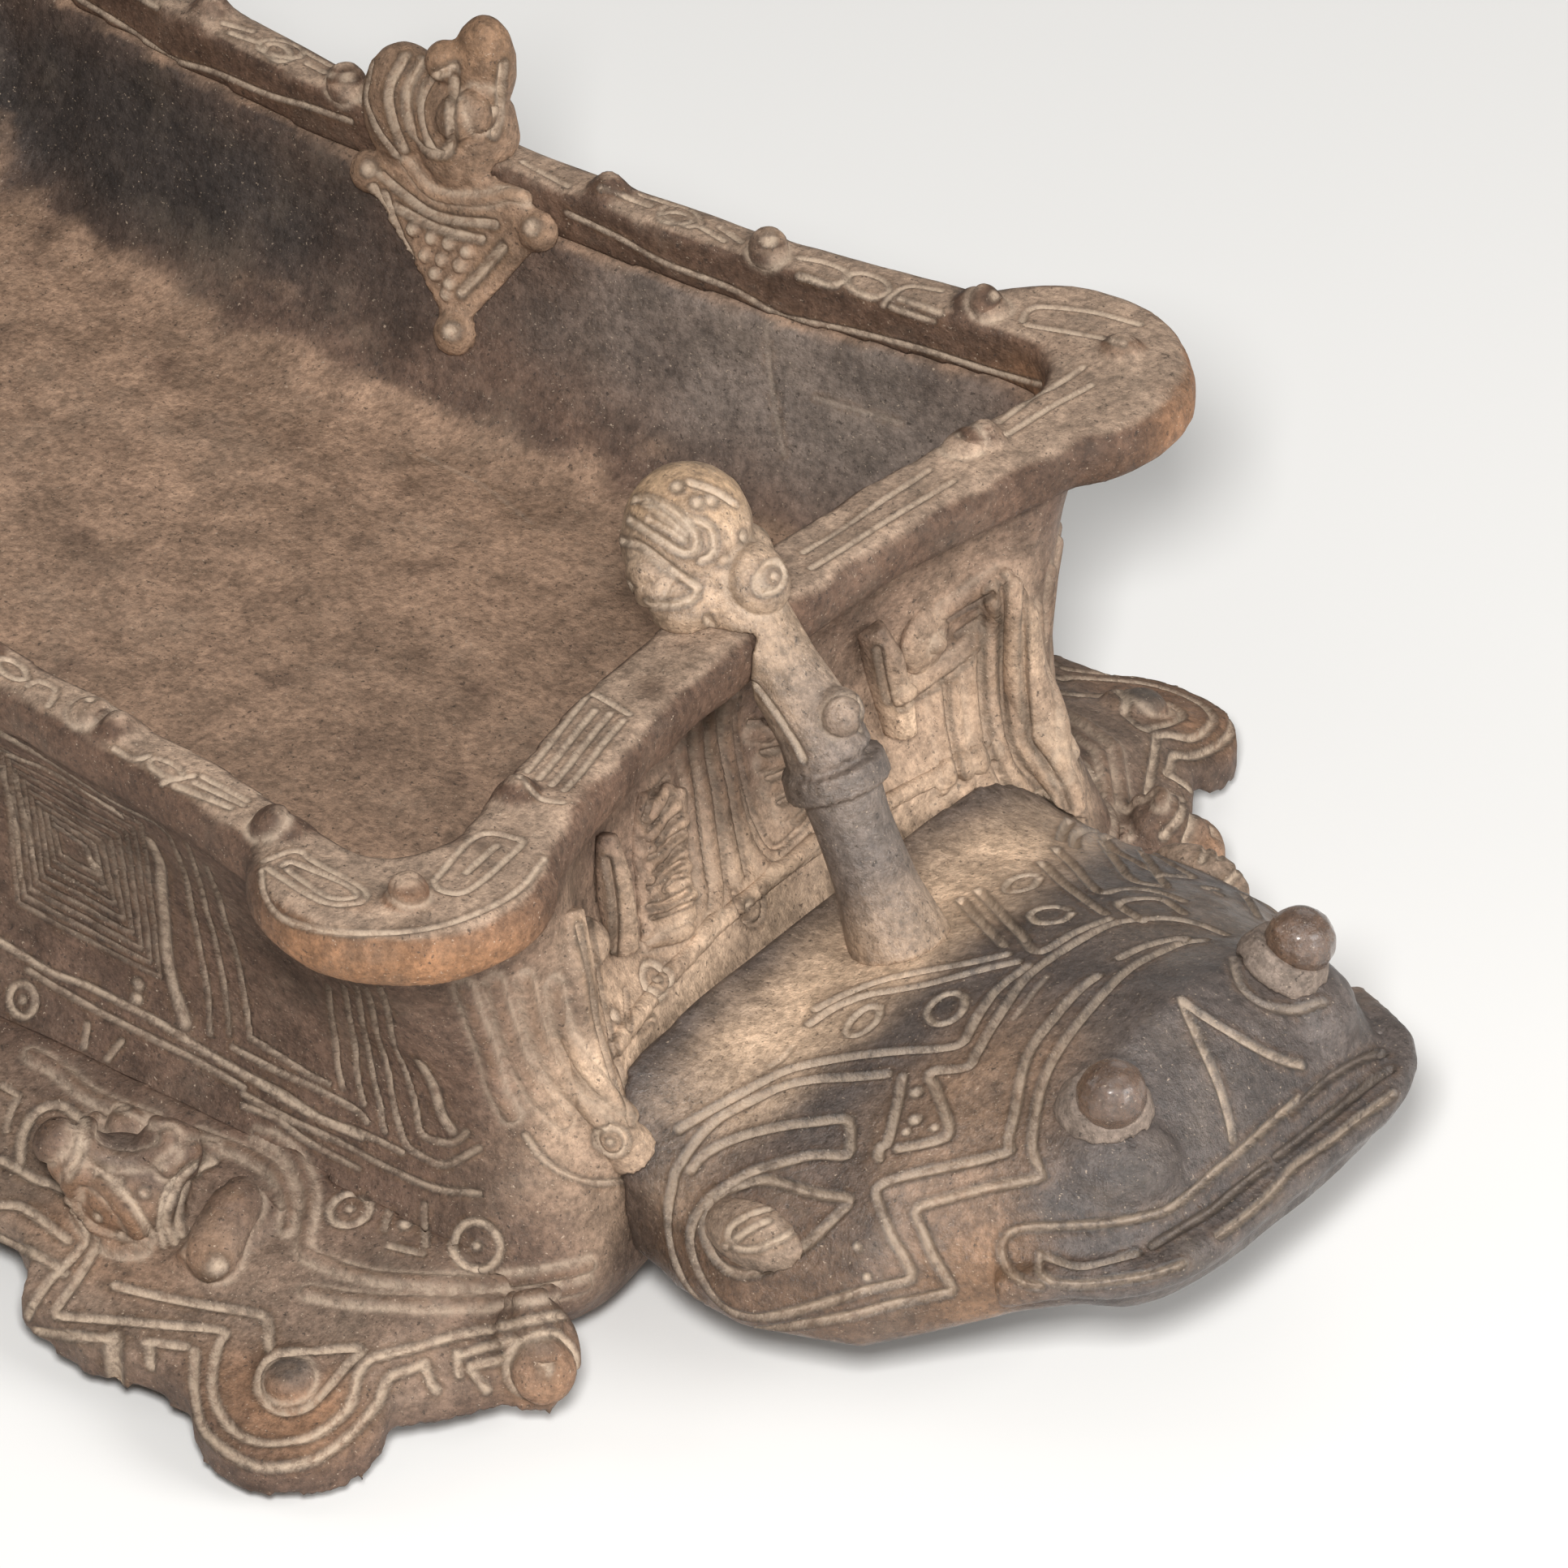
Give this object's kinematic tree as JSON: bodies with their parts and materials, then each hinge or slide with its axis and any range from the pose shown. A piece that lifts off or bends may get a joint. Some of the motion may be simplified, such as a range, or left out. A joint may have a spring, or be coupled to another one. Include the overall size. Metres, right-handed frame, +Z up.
{
  "type": "zoomorphic vessel",
  "caption": "Oblong trough-shaped fired-clay vessel with an animal head at one end, a handle up to the rim, side flanges and incised bands.",
  "frame": {"origin": "on the ground, in the middle of the vessel's whole footprint, head and tail included", "axes": "+X towards the muzzle of the big front head, +Y to the vessel's left, +Z up out of the open basin"},
  "size_m": [0.575, 0.371, 0.1802],
  "materials": {
    "brown_clay": "matt fired clay, grey-brown, with pale dust in the grooves",
    "rim_clay": "matt fired clay, worn orange-brown at the edges",
    "tan_clay": "matt fired clay, pale tan",
    "adorno_clay": "matt fired clay, brown, worn",
    "burnished_dark_clay": "burnished smoke-dark fired clay"
  },
  "bodies": {
    "root": {"body": "brown_clay", "rim_band": "rim_clay", "side_flange_left": "brown_clay", "lobe_roundel_front_left": "brown_clay", "flange_knob_front_left": "brown_clay", "side_animal_front_left": "brown_clay", "pair_boss_front_left": "brown_clay", "lobe_roundel_rear_left": "brown_clay", "flange_knob_rear_left": "brown_clay", "side_animal_rear_left": "brown_clay", "pair_boss_rear_left": "brown_clay", "side_flange_right": "brown_clay", "lobe_roundel_front_right": "brown_clay", "flange_knob_front_right": "brown_clay", "side_animal_front_right": "brown_clay", "pair_boss_front_right": "brown_clay", "lobe_roundel_rear_right": "brown_clay", "flange_knob_rear_right": "brown_clay", "side_animal_rear_right": "brown_clay", "pair_boss_rear_right": "brown_clay", "front_head": "burnished_dark_clay", "eye_collar_left": "burnished_dark_clay", "eye_ball_left": "adorno_clay", "cheek_pellet_left": "adorno_clay", "eye_collar_right": "burnished_dark_clay", "eye_ball_right": "adorno_clay", "cheek_pellet_right": "adorno_clay", "lip_band": "burnished_dark_clay", "handle_column": "burnished_dark_clay", "handle_ring": "adorno_clay", "handle_head": "adorno_clay", "lug_crest_left": "adorno_clay", "lug_head_left": "adorno_clay", "lug_panel_left": "tan_clay", "lug_crest_right": "adorno_clay", "lug_head_right": "adorno_clay", "lug_panel_right": "tan_clay", "wall_loop_left": "tan_clay", "wall_comb_left": "tan_clay", "wall_knob_left": "tan_clay", "corner_band_left": "tan_clay", "wall_loop_right": "tan_clay", "wall_comb_right": "tan_clay", "wall_knob_right": "tan_clay", "corner_band_right": "tan_clay", "wall_ledge": "tan_clay", "tail_lobe": "brown_clay"}
  },
  "joints": []
}
